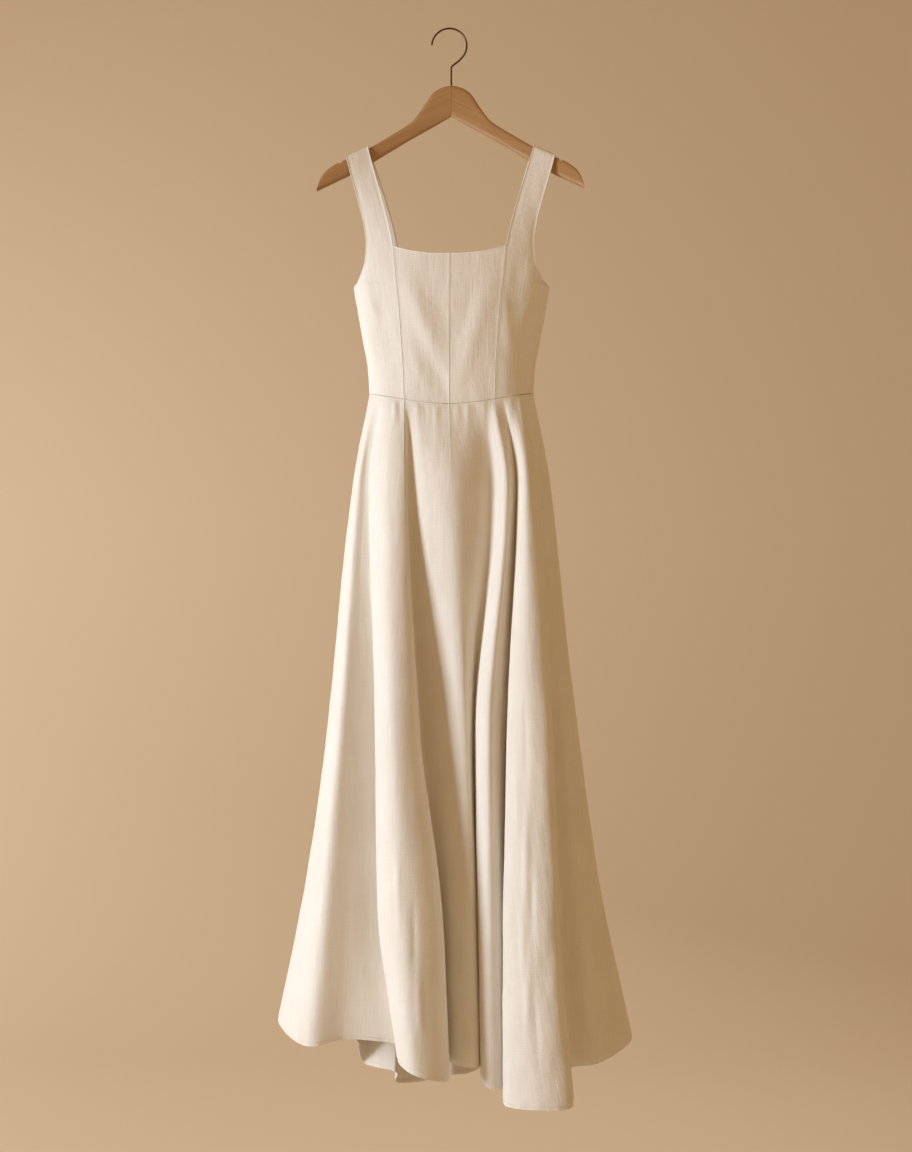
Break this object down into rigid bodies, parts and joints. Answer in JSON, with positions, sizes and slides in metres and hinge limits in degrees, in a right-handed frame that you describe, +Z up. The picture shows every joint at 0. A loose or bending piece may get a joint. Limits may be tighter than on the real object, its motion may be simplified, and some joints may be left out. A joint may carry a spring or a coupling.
{
  "type": "sleeveless dress on a clothes hanger",
  "caption": "Square-necked sleeveless dress with wide straps, princess seams and a long flared skirt in gores, hanging on a wooden hanger with a wire hook.",
  "frame": {"origin": "inside top of the hanger's hook, where the rail bears", "axes": "+Z up; -Y is the front of the dress; +X to the right as seen from the front"},
  "size_m": [0.533, 0.3645, 1.626],
  "materials": {
    "linen": "plain weave with fine slubs, matt",
    "hanger_wood": "smooth, satin lacquer",
    "hook_steel": "dark bronze"
  },
  "bodies": {
    "root": {"bodice_front_centre_left": "linen", "bodice_front_centre_right": "linen", "bodice_front_side_left": "linen", "bodice_front_side_right": "linen", "bodice_back_centre_left": "linen", "bodice_back_centre_right": "linen", "bodice_back_side_left": "linen", "bodice_back_side_right": "linen", "skirt_front_side_left": "linen", "skirt_front_centre_left": "linen", "skirt_front_centre_right": "linen", "skirt_front_side_right": "linen", "skirt_back_side_right": "linen", "skirt_back_centre_right": "linen", "skirt_back_centre_left": "linen", "skirt_back_side_left": "linen", "hanger_arm_left": "hanger_wood", "hanger_arm_right": "hanger_wood", "hanger_hook": "hook_steel"}
  },
  "joints": []
}
